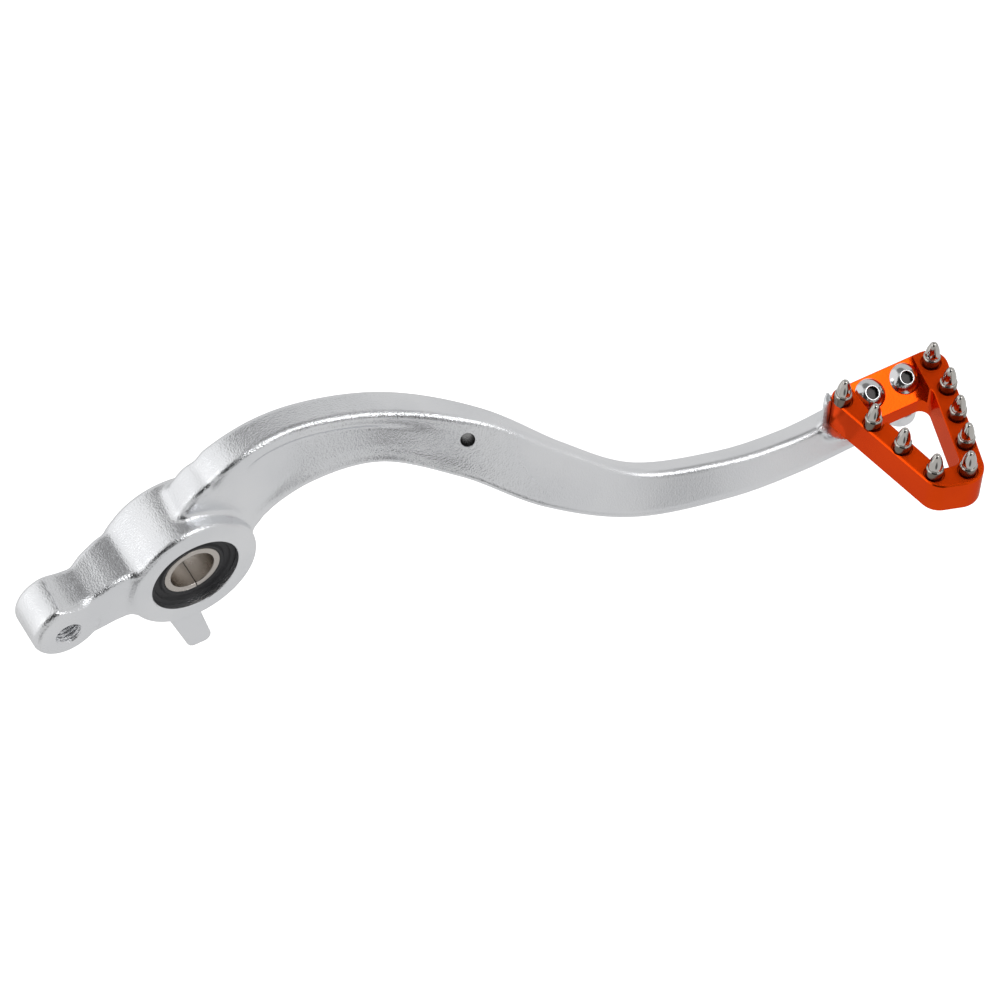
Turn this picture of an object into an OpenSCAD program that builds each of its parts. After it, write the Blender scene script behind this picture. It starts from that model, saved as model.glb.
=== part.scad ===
// Rear brake pedal: forged and twisted arm on a needle bearing, with a pinned step plate.
// Origin: centre of the pivot. X forward to the step plate, Y inward along the pivot, Z up. Millimetres.

/* [Pivot boss] */
// Outer diameter of the boss
boss_d = 41; // [34:0.5:50]
// Width of the boss along the pivot
boss_w = 22; // [18:0.5:30]
// Rounding of the boss rims
boss_round = 1.5; // [0.5:0.1:3]
// Diameter of the seal counterbores
seal_d = 28; // [26:0.5:32]
// Thickness of a seal ring
seal_t = 2.8; // [2:0.1:4]
// Depth of the seal face below the boss face
seal_recess = 2.2; // [1:0.1:4]

/* [Needle bearing] */
// Outer diameter of the drawn cup
cup_d = 24; // [22:0.5:26]
// Wall of the drawn cup
cup_wall = 0.9; // [0.6:0.05:1.2]
// Inner diameter of the cup lips
lip_d = 19.4; // [19:0.1:21]
// Diameter of a needle roller
roller_d = 2; // [1.5:0.1:2.5]
// Rim of the cage past each end of the rollers
cage_rim = 0.4; // [0.2:0.05:1]
// Number of needle rollers
roller_n = 18; // [12:1:24]
// Radial play between the rollers and the sleeve
roller_play = 0.03; // [0.01:0.01:0.1]
// Gap round each roller in its cage pocket
pocket_gap = 0.05; // [0.02:0.01:0.1]
// Wall of the cage
cage_wall = 1.3; // [1:0.1:1.6]
// Gap between the cage and each lip of the cup
cage_play = 0.3; // [0.1:0.05:0.6]

/* [Pivot sleeve] */
// Outer diameter of the sleeve
sleeve_d = 18; // [16:0.5:20]
// Bore of the sleeve for the frame bolt
sleeve_bore = 14; // [10:0.5:15]
// Width of the seam in the rolled sleeve
seam_w = 0.25; // [0.1:0.05:0.6]
// Angle of the seam from straight down, towards the step plate
seam_turn = 9; // [0:1:90]
// Running clearance between a seal and the sleeve
seal_play = 0.05; // [0.01:0.01:0.1]
// Depth of the groove in a seal face
seal_groove = 0.6; // [0:0.1:1]

/* [Push rod eye] */
// Position of the eye along X
eye_x = -41; // [-60:0.5:-34]
// Outer diameter of the eye
eye_d = 21; // [18:0.5:26]
// Front face of the eye along Y
eye_y0 = -11; // [-14:0.5:-8]
// Back face of the eye along Y
eye_y1 = 4; // [1:0.5:8]
// Height of the thread centre
rod_z = -1.2; // [-4:0.1:3]
// Core diameter of the M8 thread
rod_core = 6.8; // [6.6:0.1:7]
// Mouth diameter of the thread chamfer
rod_mouth = 8.4; // [8:0.1:9]
// Depth of the flat cut over the eye
eye_flat = 0.8; // [0:0.1:2]
// Fall of the eye's flat towards the neck, degrees
eye_fall = 16; // [0:1:25]

/* [Stop lug] */
// Front face of the lug along Y
lug_y = -7.5; // [-10:0.5:-4]
// Thickness of the lug
lug_t = 8; // [5:0.5:12]
// Rounding of the lug end corners
lug_round = 2.5; // [1:0.1:4]
// Distance of the lug end below the pivot
lug_reach = 41; // [32:0.1:46]

/* [Arm] */
// Thickness of the forging across the arm
arm_w = 12; // [9:0.5:16]
// Rounding of the arm edges
arm_round = 3; // [1.5:0.1:4]
// Width of the flange beside the channel
flange = 4.6; // [3:0.1:6]
// Depth of the channel in the outer face
channel = 1.8; // [0.5:0.1:3]
// Run of the channel wall
channel_run = 1.4; // [0.5:0.1:3]
// Position along X where the channel starts
channel_x0 = 13; // [8:0.5:25]
// Position along X where the channel has run out
channel_x1 = 84; // [60:0.5:90]
// Diameter of the tether hole
tether_d = 3.9; // [2:0.1:5]

/* [Step plate] */
// Height of the plate top
plate_top = 22; // [15:0.5:30]
// Thickness of the plate
plate_t = 12; // [8:0.5:16]
// Chamfer of the plate edges
plate_chamfer = 0.6; // [0.2:0.1:1.5]
// Back edge of the plate along Y
plate_back = -54.2; // [-60:0.1:-48]
// Slope of the mounting slab
slab_tilt = 28; // [15:1:40]
// Front edge of the mounting slab along Y
slab_front = -65.7; // [-72:0.1:-62]
// Left side of the pocket over the slab
pocket_x0 = 192.6; // [190:0.1:196]
// Right side of the pocket over the slab
pocket_x1 = 214.8; // [210:0.1:218]
// Thickness of the mounting slab
slab_t = 4.9; // [3:0.1:7]

/* [Step plate screws] */
// Position of the rear screw along X
screw_x = 197.5; // [195:0.1:200]
// Spacing of the two screws
screw_gap = 12; // [10:0.5:16]
// Distance of the screws down the slope from the back edge
screw_s = 5.6; // [4:0.1:8]
// Thread diameter of the screws
screw_d = 5; // [4:0.5:6]
// Length of the screws under the head
screw_l = 12; // [8:1:20]
// Diameter of the button heads
head_d = 9.5; // [8:0.1:11]
// Height of the button heads
head_h = 2.75; // [2:0.05:3.5]
// Width across the flats of the sockets
hex_af = 3; // [2.5:0.5:4]
// Depth of the sockets
hex_depth = 1.6; // [1:0.1:2]
// Radial play of the screws in the slab holes
screw_play = 0.3; // [0.1:0.05:0.5]

/* [Cleat pins] */
// Diameter of the pin body
pin_d = 5.2; // [4:0.1:6]
// Width of a pin's point where it leaves the groove
cone_d = 4.3; // [3.5:0.1:5]
// Height of the pin body over the plate
pin_body = 3.2; // [2:0.1:5]
// Height of the whole pin over the plate
pin_h = 9; // [6:0.1:12]
// Diameter of the threaded shank
pin_shank = 4; // [3:0.1:4.5]
// Length of the threaded shank
pin_shank_l = 8; // [5:0.5:10]
// Depth of the pin seat in the plate
pin_seat = 0.8; // [0.4:0.1:1.5]
// Gap round the pin body in its seat
seat_gap = 0.35; // [0.3:0.05:0.8]
// Radius of the pin tip
pin_tip = 0.6; // [0.3:0.1:1]
// Radial play of the threads in their holes
thread_play = 0.05; // [0.01:0.01:0.1]

/* [Arm head] */
// Right end of the head under the plate
head_x1 = 213; // [211:0.1:215]
// Left end of the head
head_x0 = 182.8; // [182:0.1:188]
// Front face of the head along Y
head_front = -64.8; // [-67:0.1:-64]
// Back face of the head along Y
head_back = -51; // [-52:0.1:-46]
// Height of the underside of the head
head_low = 8; // [3:0.1:9]
// Left end of the room cut for the rear leg
leg_x0 = 180; // [178:0.5:184]
// Middle of the boss round the front screw
tip_x = 207.8; // [205:0.1:210]
// Radius of that boss
tip_r = 5.2; // [4:0.1:6.5]
// Lower end of that boss
tip_low = 5.2; // [3:0.1:8]

/* [Hidden] */
cbore_depth = seal_t + seal_recess;
cup_l = boss_w - 2 * cbore_depth;
cage_l = cup_l - 2 * (cup_wall + cage_play);
roller_l = cage_l - 2 * cage_rim;
sleeve_l = boss_w - 2 * seal_recess - 0.2;
pitch_r = sleeve_d / 2 + roller_play + roller_d / 2;
plate_low = plate_top - plate_t;
slab_low = plate_top - slab_t / cos(slab_tilt);
// Arm stations: x, y, z, twist, height
ARM = [
  [4, -1, 7, 0, 34],
  [18, -1, 21, 2, 30],
  [38, -1.5, 28, 12, 23],
  [62, -8, 29, 15, 18.5],
  [84, -22, 24, 32, 19],
  [104, -35, 11.5, 40, 18.5],
  [126, -45, 1.5, 38, 14.5],
  [152, -52.5, 1, 38, 12.5],
  [174, -55, 1.5, 37, 11.5],
  [193, -56.5, 5, 34, 11.5]
];
// Neck stations from the eye into the boss: x, y, z, height, width
NECK = [
  [-44, -3, 0, 12, 12],
  [-38, -2.9, -0.4, 16.2, 13.2],
  [-33, -2.6, -0.2, 17.2, 14.2],
  [-29, -1.7, 0.5, 17.6, 16.2],
  [-25.5, -1.1, 1.1, 18.2, 17.2],
  [-21, -0.5, 1.4, 18.8, 18.4],
  [-12, 0, 1.5, 19, 20]
];
// Cleat pin centres, from the back left corner round the plate
PINS = [
  [188, -58.6],
  [218.4, -59.2],
  [191.1, -70.2],
  [217.6, -69.4],
  [193.9, -81.6],
  [214.6, -79.2],
  [211.2, -88.8],
  [197, -93.9],
  [206.2, -97.6]
];
// Plate outline circles: x, y, radius, anticlockwise
PLATE = [
  [189, -57.7, 3.5],
  [200, -93.6, 6.4],
  [205.6, -95, 6.8],
  [217.6, -59.8, 5.6]
];
// Window outline circles
WINDOW = [
  [195.1, -66.5, 0.8],
  [201.9, -91.2, 2.5],
  [204.1, -91.6, 2.5],
  [210.1, -68.7, 3]
];
// Tether hole: point on the arm, then tilt and turn of its axis
TETHER = [83.3, -19.8, 27.1];
TETHER_TURN = [-29, -24];
steps = 5;

// Curve through four stations
function curve(a, b, c, d, t) =
  0.5 * (2 * b + (c - a) * t + (2 * a - 5 * b + 4 * c - d) * t * t + (3 * b - 3 * c + d - a) * t * t * t);
function station(k, i) =
  i < 0 ? 2 * k[0] - k[1] : i >= len(k) ? 2 * k[len(k) - 1] - k[len(k) - 2] : k[i];
function fine(k) = [
  for (i = [0 : len(k) - 2]) for (j = [0 : steps - 1])
    curve(station(k, i - 1), k[i], k[i + 1], station(k, i + 2), j / steps),
  k[len(k) - 1]
];
function unit(v) = v / norm(v);
function first3(v) = [v[0], v[1], v[2]];
function ahead(p, i) =
  unit(first3(p[min(i + 1, len(p) - 1)]) - first3(p[max(i - 1, 0)]));
function ease(t) = t <= 0 ? 0 : t >= 1 ? 1 : t * t * (3 - 2 * t);

// Rounded section with an optional channel in the outer side, as points across and up
function corner(cx, cy, r, a) = [
  for (j = [0 : 3]) [cx + r * cos(a + 30 * j), cy + r * sin(a + 30 * j)]
];
function section(w, h, r, cut, run) = let (b = w / 2, a = h / 2, lip = max(a - flange, run + 0.4)) concat(
  corner(b - r, a - r, r, 0),
  corner(r - b, a - r, r, 90),
  [[-b, lip], [cut - b, lip - run], [cut - b, run - lip], [-b, -lip]],
  corner(r - b, r - a, r, 180),
  corner(b - r, r - a, r, 270)
);
function placed(sec, c, d, turn) =
  let (l = unit(cross([0, 0, 1], d)), u = cross(d, l))
  let (lt = cos(turn) * l - sin(turn) * u, ut = sin(turn) * l + cos(turn) * u)
  [for (q = sec) c + q[0] * lt + q[1] * ut];

// Closed skin over rings of equal length
module skin(rings) {
  n = len(rings[0]);
  m = len(rings);
  points = [for (r = rings) for (q = r) q];
  sides = [
    for (i = [0 : m - 2]) for (j = [0 : n - 1])
      let (k = (j + 1) % n, a = i * n + j, b = i * n + k, c = a + n, d = b + n)
      each [[a, d, b], [a, c, d]]
  ];
  ends = [[for (j = [0 : n - 1]) j], [for (j = [n - 1 : -1 : 0]) (m - 1) * n + j]];
  polyhedron(points, concat(sides, ends), convexity = 6);
}

// Outline round a row of circles, with the straight sides tangent to them
function side(c, d) = let (
    v = [d[0] - c[0], d[1] - c[1]],
    turn = atan2(v[1], v[0]) - acos((c[2] - d[2]) / norm(v))
  ) [
    [c[0] + c[2] * cos(turn), c[1] + c[2] * sin(turn)],
    [d[0] + d[2] * cos(turn), d[1] + d[2] * sin(turn)]
  ];
module loop(row) {
  polygon([for (i = [0 : len(row) - 1]) each side(row[i], row[(i + 1) % len(row)])]);
  for (c = row) translate([c[0], c[1]]) circle(r = c[2]);
}

// Turned solid along Y from a profile of radius and position
module turned(p) {
  rotate([-90, 0, 0]) rotate_extrude() polygon(p);
}
module along_y(d, y0, y1) {
  translate([0, y0, 0]) rotate([-90, 0, 0]) cylinder(d = d, h = y1 - y0);
}

module boss() {
  r = boss_d / 2;
  rotate([-90, 0, 0]) rotate_extrude() {
    translate([0, -boss_w / 2]) square([r - boss_round, boss_w]);
    translate([0, boss_round - boss_w / 2]) square([r, boss_w - 2 * boss_round]);
    for (s = [-1, 1]) translate([r - boss_round, s * (boss_w / 2 - boss_round)]) circle(r = boss_round);
  }
}

module swept_arm() {
  p = fine(ARM);
  skin([for (i = [0 : len(p) - 1])
    let (x = p[i][0], grow_in = ease((x - channel_x0) / 8), fade = ease((channel_x1 - x) / 24))
    placed(section(arm_w, p[i][4], arm_round, channel * grow_in * fade, channel_run),
      first3(p[i]), ahead(p, i), p[i][3])]);
}

module swept_neck() {
  p = fine(NECK);
  skin([for (i = [0 : len(p) - 1])
    placed(section(p[i][4], p[i][3], arm_round, 0, channel_run), first3(p[i]), [1, 0, 0], 0)]);
}

module eye() {
  difference() {
    translate([eye_x, 0, 0]) union() {
      along_y(eye_d, eye_y0 + boss_round, eye_y1 - boss_round);
      along_y(eye_d - 2 * boss_round, eye_y0, eye_y1);
      for (y = [eye_y0, eye_y1 - boss_round]) translate([0, y, 0]) rotate([-90, 0, 0])
        cylinder(d1 = eye_d - (y < 0 ? 2 * boss_round : 0), d2 = eye_d - (y < 0 ? 0 : 2 * boss_round),
          h = boss_round);
    }
    translate([eye_x - 1.5, eye_y0 - 1, eye_d / 2 - eye_flat]) rotate([0, eye_fall, 0])
      cube([eye_d, 2 * eye_d, eye_d]);
  }
}

module lug() {
  row = [[1.1, lug_round - lug_reach, lug_round], [4.1, lug_round - lug_reach, lug_round],
    [-2, -19.9, 4], [-4.6, -17.7, 4]];
  translate([0, lug_y + lug_t, 0]) rotate([90, 0, 0]) linear_extrude(lug_t) loop(row);
}

// Space above the sloped seat of the step plate, open upwards
module over_slope(z, x0, x1, y0, y1) {
  translate([x0, plate_back, z]) rotate([slab_tilt, 0, 0]) translate([0, y0 - plate_back, 0])
    cube([x1 - x0, y1 - y0, 3 * plate_t]);
}

// Room that the forging leaves for the step plate: over the seat, and under the rear leg
module plate_room() {
  over_slope(slab_low, leg_x0, head_x1 + 5, head_front - 20, head_back + 20);
  translate([leg_x0, head_front - 5, plate_low])
    cube([pocket_x0 - leg_x0, plate_back - head_front + 5, plate_t]);
}

module head() {
  r = (head_back - head_front) / 2;
  row = [[head_x0 + r, head_front + r, r], [head_x1 - r, head_front + r, r]];
  translate([0, 0, head_low]) linear_extrude(plate_t + 1) loop(row);
  translate([tip_x, head_front - 1.2 + tip_r, tip_low]) cylinder(r = tip_r, h = plate_t);
}

module screw_frame(i) {
  translate([screw_x + i * screw_gap, plate_back, plate_top]) rotate([slab_tilt, 0, 0])
    translate([0, -screw_s, 0]) children();
}

module arm() {
  color("silver") difference() {
    union() {
      boss();
      swept_arm();
      swept_neck();
      eye();
      lug();
      head();
    }
    plate_room();
    along_y(seal_d, -boss_w, -cup_l / 2);
    along_y(seal_d, cup_l / 2, boss_w);
    along_y(cup_d, -boss_w, boss_w);
    translate([eye_x, 0, rod_z]) {
      along_y(rod_core, eye_y0 - 5, eye_y1 + 5);
      translate([0, eye_y0, 0]) rotate([-90, 0, 0])
        cylinder(d1 = rod_mouth, d2 = rod_core, h = (rod_mouth - rod_core) / 2);
    }
    translate(TETHER) rotate([TETHER_TURN[0], 0, TETHER_TURN[1]]) along_y(tether_d, -2 * arm_w, 2 * arm_w);
    for (i = [0, 1]) screw_frame(i) translate([0, 0, -screw_l - 1])
      cylinder(d = screw_d + 2 * thread_play, h = screw_l);
  }
}

module needle_cup() {
  r = cup_d / 2;
  q = lip_d / 2;
  c = cup_l / 2;
  color("gainsboro") turned([[r, -c], [r, c], [q, c], [q, c - cup_wall], [r - cup_wall, c - cup_wall],
    [r - cup_wall, cup_wall - c], [q, cup_wall - c], [q, -c]]);
}

module needle_cage() {
  color("dimgray") difference() {
    turned([[pitch_r - cage_wall / 2, -cage_l / 2], [pitch_r + cage_wall / 2, -cage_l / 2],
      [pitch_r + cage_wall / 2, cage_l / 2], [pitch_r - cage_wall / 2, cage_l / 2]]);
    for (i = [0 : roller_n - 1]) rotate([0, i * 360 / roller_n, 0]) translate([pitch_r, 0, 0])
      along_y(roller_d + 2 * pocket_gap, -roller_l / 2 - pocket_gap, roller_l / 2 + pocket_gap);
  }
}

module needle_rollers() {
  color("lightsteelblue") for (i = [0 : roller_n - 1]) rotate([0, i * 360 / roller_n, 0])
    translate([pitch_r, 0, 0]) along_y(roller_d, -roller_l / 2, roller_l / 2);
}

module seal(s) {
  r = seal_d / 2;
  q = sleeve_d / 2 + seal_play;
  y0 = cup_l / 2;
  y1 = y0 + seal_t;
  color("black") mirror([0, s, 0]) turned([[q, y0], [r, y0], [r, y1], [r - 1.3, y1],
    [r - 1.7, y1 - seal_groove], [q + 1.5, y1 - seal_groove], [q + 0.8, y1], [q, y1]]);
}

module seal_outer() {
  seal(1);
}

module seal_inner() {
  seal(0);
}

module pivot_sleeve() {
  color("lightgray") difference() {
    along_y(sleeve_d, -sleeve_l / 2, sleeve_l / 2);
    along_y(sleeve_bore, -sleeve_l, sleeve_l);
    rotate([0, -seam_turn, 0]) translate([-seam_w / 2, -sleeve_l, -sleeve_d])
      cube([seam_w, 2 * sleeve_l, sleeve_d]);
  }
}

// Thin layer over a loop whose edge slopes in by its own height
module bevelled(row, h) {
  n = len(row);
  ring = [for (g = [0, -h]) [for (i = [0 : n - 1]) each
    side([row[i][0], row[i][1], row[i][2] + g],
      [row[(i + 1) % n][0], row[(i + 1) % n][1], row[(i + 1) % n][2] + g])]];
  skin([[for (q = ring[0]) [q[0], q[1], 0]], [for (q = ring[1]) [q[0], q[1], h]]]);
  for (c = row) translate([c[0], c[1]]) cylinder(r1 = c[2], r2 = c[2] - h, h = h);
}

module step_plate() {
  color("darkorange") difference() {
    union() {
      translate([0, 0, plate_low]) linear_extrude(plate_t - plate_chamfer) loop(PLATE);
      translate([0, 0, plate_top - plate_chamfer]) bevelled(PLATE, plate_chamfer);
    }
    translate([0, 0, plate_low - 1]) linear_extrude(plate_t + 2) loop(WINDOW);
    over_slope(plate_top, pocket_x0, pocket_x1, slab_front - 8, plate_back + 9);
    difference() {
      translate([pocket_x0, slab_front, plate_low - 1]) cube([pocket_x1 - pocket_x0, 20, plate_t]);
      over_slope(slab_low, pocket_x0 - 1, pocket_x1 + 1, slab_front - 20, plate_back + 20);
    }
    for (i = [0, 1]) screw_frame(i) translate([0, 0, -2 * slab_t])
      cylinder(d = screw_d + 2 * screw_play, h = 3 * slab_t);
    for (p = PINS) translate([p[0], p[1], plate_top]) {
      translate([0, 0, -pin_seat]) cylinder(d = pin_d + 2 * seat_gap, h = pin_seat + 1);
      translate([0, 0, -pin_seat - pin_shank_l - 0.5])
        cylinder(d = pin_shank + 2 * thread_play, h = pin_shank_l + 1);
    }
  }
}

module step_screw(i) {
  r = head_d / 2;
  ball = (r * r + head_h * head_h) / (2 * head_h);
  arc = asin(r / ball);
  color("silver") screw_frame(i) difference() {
    rotate_extrude() polygon(concat(
      [[0, -screw_l], [screw_d / 2 - 0.5, -screw_l], [screw_d / 2, 0.5 - screw_l], [screw_d / 2, 0], [r, 0]],
      [for (j = [1 : 8]) [ball * sin(arc * (8 - j) / 8), head_h - ball + ball * cos(arc * (8 - j) / 8)]]
    ));
    translate([0, 0, head_h - hex_depth]) cylinder(d = hex_af / cos(30), h = head_h, $fn = 6);
  }
}

module step_screw_rear() {
  step_screw(0);
}

module step_screw_front() {
  step_screw(1);
}

module cleat_pin(i) {
  r = pin_d / 2;
  b = pin_shank / 2;
  k = cone_d / 2;
  cone = pin_h - pin_body - 0.5;
  color("silver") translate([PINS[i][0], PINS[i][1], plate_top]) rotate_extrude() polygon(concat(
    [[0, -pin_seat - pin_shank_l], [b - 0.4, -pin_seat - pin_shank_l], [b, 0.4 - pin_seat - pin_shank_l],
      [b, -pin_seat], [r, -pin_seat], [r, pin_body - 0.3], [r - 0.3, pin_body], [k - 0.3, pin_body],
      [k - 0.3, pin_body + 0.4], [k, pin_body + 0.6]],
    [for (j = [1 : 6]) let (t = j / 6)
      [pin_tip + (k - pin_tip) * (1 - pow(t, 1.6)), pin_h - cone + (cone - 0.4) * t]],
    [[0, pin_h]]
  ));
}

module cleat_pin_1() { cleat_pin(0); }
module cleat_pin_2() { cleat_pin(1); }
module cleat_pin_3() { cleat_pin(2); }
module cleat_pin_4() { cleat_pin(3); }
module cleat_pin_5() { cleat_pin(4); }
module cleat_pin_6() { cleat_pin(5); }
module cleat_pin_7() { cleat_pin(6); }
module cleat_pin_8() { cleat_pin(7); }
module cleat_pin_9() { cleat_pin(8); }

arm();
needle_cup();
needle_cage();
needle_rollers();
seal_outer();
seal_inner();
pivot_sleeve();
step_plate();
step_screw_rear();
step_screw_front();
cleat_pin_1();
cleat_pin_2();
cleat_pin_3();
cleat_pin_4();
cleat_pin_5();
cleat_pin_6();
cleat_pin_7();
cleat_pin_8();
cleat_pin_9();
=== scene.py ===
"""Rear brake pedal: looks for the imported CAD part. Lengths in the tables are millimetres; meshes are metres."""
from itertools import combinations

import bpy
import numpy as np
from mathutils import Matrix


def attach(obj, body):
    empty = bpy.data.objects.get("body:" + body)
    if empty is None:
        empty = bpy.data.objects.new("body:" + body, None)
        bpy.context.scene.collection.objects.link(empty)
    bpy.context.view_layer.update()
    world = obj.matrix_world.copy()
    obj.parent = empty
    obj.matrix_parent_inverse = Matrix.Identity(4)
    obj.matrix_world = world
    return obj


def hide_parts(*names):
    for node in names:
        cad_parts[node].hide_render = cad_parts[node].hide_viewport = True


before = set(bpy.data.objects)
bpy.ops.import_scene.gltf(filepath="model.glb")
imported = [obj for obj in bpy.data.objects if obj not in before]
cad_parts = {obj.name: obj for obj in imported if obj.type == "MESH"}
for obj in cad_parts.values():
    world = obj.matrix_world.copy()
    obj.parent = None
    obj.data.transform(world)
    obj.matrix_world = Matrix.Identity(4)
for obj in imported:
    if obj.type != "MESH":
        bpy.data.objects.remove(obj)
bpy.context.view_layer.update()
MM = 0.001
PI = np.pi

# ---------------------------------------------------------------- sizes, as in the part where it has them
BOSS_R, BOSS_W, RIM = 20.5, 22.0, 2.3
FACING_PAST, FACING_EDGE = 0.6, 0.5
SEAL_R, SEAL_T, SEAT_CHAMFER = 14.0, 2.8, 0.35
CUP_R, CUP_HALF = 12.0, 6.0
SLEEVE_R, SLEEVE_BORE_R, SLEEVE_HALF, SLEEVE_EDGE = 9.0, 7.0, 8.7, 0.35
SEAM_TURN, SEAM_HALF = 9.0, 0.14
# The eye's flat lies a little under its top and falls; the step down to it is slightly skew
EYE_X, EYE_R, EYE_Y0, EYE_Y1 = -41.0, 10.5, -11.0, 4.0
EYE_FALL, EYE_FLAT, EYE_STEP_X, EYE_STEP_Y, EYE_SKEW = np.radians(16.0), 0.8, -1.5, -4.0, 0.08
ROD_Z, ROD_CORE_R, ROD_TOP_R, ROD_PITCH, ROD_MOUTH, ROD_MOUTH_R = -1.2, 3.4, 4.0, 1.25, 0.8, 5.2
ARM_W, ARM_ROUND, FLANGE = 12.0, 2.3, 4.6
# The channel's floor lies CHANNEL deep, and CHANNEL_PROUD over the face where there is no channel. It sinks over
# the second number of CHANNEL_START and rises over that of CHANNEL_END; low on the face it is shallower
CHANNEL, CHANNEL_PROUD, CHANNEL_START, CHANNEL_END = 1.5, 1.5, (11.0, 16.0), (88.0, 34.0)
CHANNEL_LOW, CHANNEL_ROUND, CHANNEL_EDGE = 0.3, 1.6, 0.9
WALL_UP, WALL_DOWN, WALL_LEAN = 0.8, 0.6, 0.25
PLATE_TOP, PLATE_T, PLATE_BACK, PLATE_CHAMFER, PLATE_BREAK = 22.0, 12.0, -54.2, 0.55, 0.3
SLAB_TILT, SLAB_FRONT, SLAB_T = 28.0, -65.7, 4.9
POCKET_X0, POCKET_X1, POCKET_LEAN = 192.6, 214.8, 0.16
SCREW_X, SCREW_GAP, SCREW_S, SCREW_R, SCREW_L = 197.5, 12.0, 5.6, 2.5, 12.0
HEAD_R, HEAD_H, HEAD_FLAT_R, HEX_AF, HEX_DEPTH, HEX_TURN = 4.75, 2.75, 2.35, 3.5, 1.6, 12.0
PIN_R, PIN_BODY, PIN_H, PIN_SEAT, PIN_SHANK_R, PIN_SHANK_L = 2.6, 3.2, 9.0, 0.8, 2.0, 8.0
CONE_R, PIN_TIP, PIN_GROOVE, OGIVE = 2.15, 1.05, 0.6, 1.9
HEAD_X0, HEAD_X1, HEAD_FRONT, HEAD_BACK, HEAD_LOW = 182.8, 213.0, -64.8, -52.4, 8.0
TIP_X, TIP_R, TIP_LOW, TIP_PROUD = 207.8, 5.2, 5.2, 1.2
# The forging reaches up beside the plate's left leg, left of WRAP_X and behind WRAP_Y
WRAP_X, WRAP_Y, LEG_X0 = 186.4, -57.0, 180.0
PLATE_PLAY, SLAB_PLAY, LEG_PLAY, UNDER_PLAY = 0.12, 0.01, 0.05, 0.02
# Fillets of the forging where each part of it meets the rest
ARM_FILLET, NECK_FILLET, EYE_FILLET, LUG_FILLET, HEAD_FILLET, TIP_FILLET = 2.0, 2.6, 1.8, 3.5, 2.0, 0.8
# Arm stations: x, y, z, twist in degrees, height
ARM = [[6.2, 0.8, 4.8, 0, 28.5], [18, -0.3, 21, 2, 30], [38, -1.5, 28, 12, 23], [62, -8, 29, 15, 18.5],
       [84, -22, 24, 32, 19], [104, -35, 11.5, 40, 18.5], [126, -45, 1.5, 38, 14.5],
       [152, -52.5, 1, 38, 12.5], [174, -55, 1.5, 37, 11.5], [193, -56.5, 5, 34, 11.5]]
# Neck stations: x, y, z, height, width
NECK = [[-44, -3, 0, 12, 12], [-38, -2.9, -0.4, 16.2, 13.2], [-33, -2.6, -0.2, 17.2, 14.2],
        [-29, -1.7, 0.5, 17.6, 16.2], [-25.5, -1.1, 1.1, 18.2, 17.2], [-21, -0.5, 1.4, 18.8, 18.4],
        [-12, 0, 1.5, 19, 20]]
# Pins: x, y. Outlines: x, y (the lug's: x, z) and radius of the circles that the line runs round
PINS = [[188, -58.6], [218.4, -59.2], [191.1, -70.2], [217.6, -69.4], [193.9, -81.6], [214.6, -79.2],
        [211.2, -88.8], [197, -93.9], [206.2, -97.6]]
PLATE = [[189, -57.7, 3.5], [200, -93.6, 6.4], [205.6, -95, 6.8], [217.6, -59.8, 5.6]]
WINDOW = [[195.1, -66.5, 0.8], [201.9, -91.2, 2.5], [204.1, -91.6, 2.5], [210.1, -68.7, 3]]
LUG = [[1.1, -38.5, 2.5], [4.1, -38.5, 2.5], [-2, -19.9, 4], [-4.6, -17.7, 4]]
LUG_Y, LUG_T, LUG_ROUND = -7.5, 8.0, 1.2
TETHER, TETHER_OUT = [83.3, -19.8, 27.1], [-0.35574, -0.799, 0.48481]
TETHER_R, TETHER_HALF, TETHER_EDGE = 1.95, 5.6, 0.3
TILT = np.radians(SLAB_TILT)
SLAB_LOW = PLATE_TOP - SLAB_T / np.cos(TILT)
PLATE_LOW = PLATE_TOP - PLATE_T
# The level surface: its room, the grid's step, steps in a coarse cell and the step for slopes
ROOM = [-54, -69, -43], [216, 13, 46]
VOXEL, BLOCK, TINY = 0.62, 5, 0.02
REACH = 20.0  # cutters reach this far from the part's middle, well outside it
SATIN_X0, SATIN_X1 = 70.0, 115.0  # the arm's grain fades out between these


# ---------------------------------------------------------------- meshes
def new_object(name, points, faces, body, slot=None, replaces=(), smooth_angle=32.0):
    """A mesh piece at the origin; points in millimetres. Edges sharper than smooth_angle stay crisp."""
    mesh = bpy.data.meshes.new(name)
    mesh.from_pydata((np.asarray(points, float) * MM).tolist(), [], [list(map(int, f)) for f in faces])
    mesh.validate()
    obj = bpy.data.objects.new(name, mesh)
    bpy.context.scene.collection.objects.link(obj)
    crisp(obj, smooth_angle)
    if body:
        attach(obj, body)
    if replaces:
        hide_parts(*replaces)
    return obj


def crisp(obj, angle):
    """Smooth shading, with the edges sharper than the angle kept crisp."""
    mesh = obj.data
    mesh.polygons.foreach_set("use_smooth", np.ones(len(mesh.polygons), bool))
    mesh.set_sharp_from_angle(angle=np.radians(angle))
    mesh.update()


def apply(obj):
    """Makes the modifiers' result the mesh."""
    done = bpy.data.meshes.new_from_object(obj.evaluated_get(bpy.context.evaluated_depsgraph_get()))
    obj.modifiers.clear()
    old, obj.data = obj.data, done
    bpy.data.meshes.remove(old)


def weigh(obj):
    """Normals that follow the larger faces, so that a narrow rounded edge doesn't shade the flat beside it."""
    obj.modifiers.new("normals", "WEIGHTED_NORMAL").keep_sharp = True
    apply(obj)


def soften(obj, width, angle):
    """A narrow bevel on the edges sharper than the angle."""
    bevel = obj.modifiers.new("edges", "BEVEL")
    bevel.width, bevel.segments, bevel.limit_method = width * MM, 2, "ANGLE"
    bevel.angle_limit = np.radians(angle)
    apply(obj)
    crisp(obj, 38)
    weigh(obj)


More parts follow.
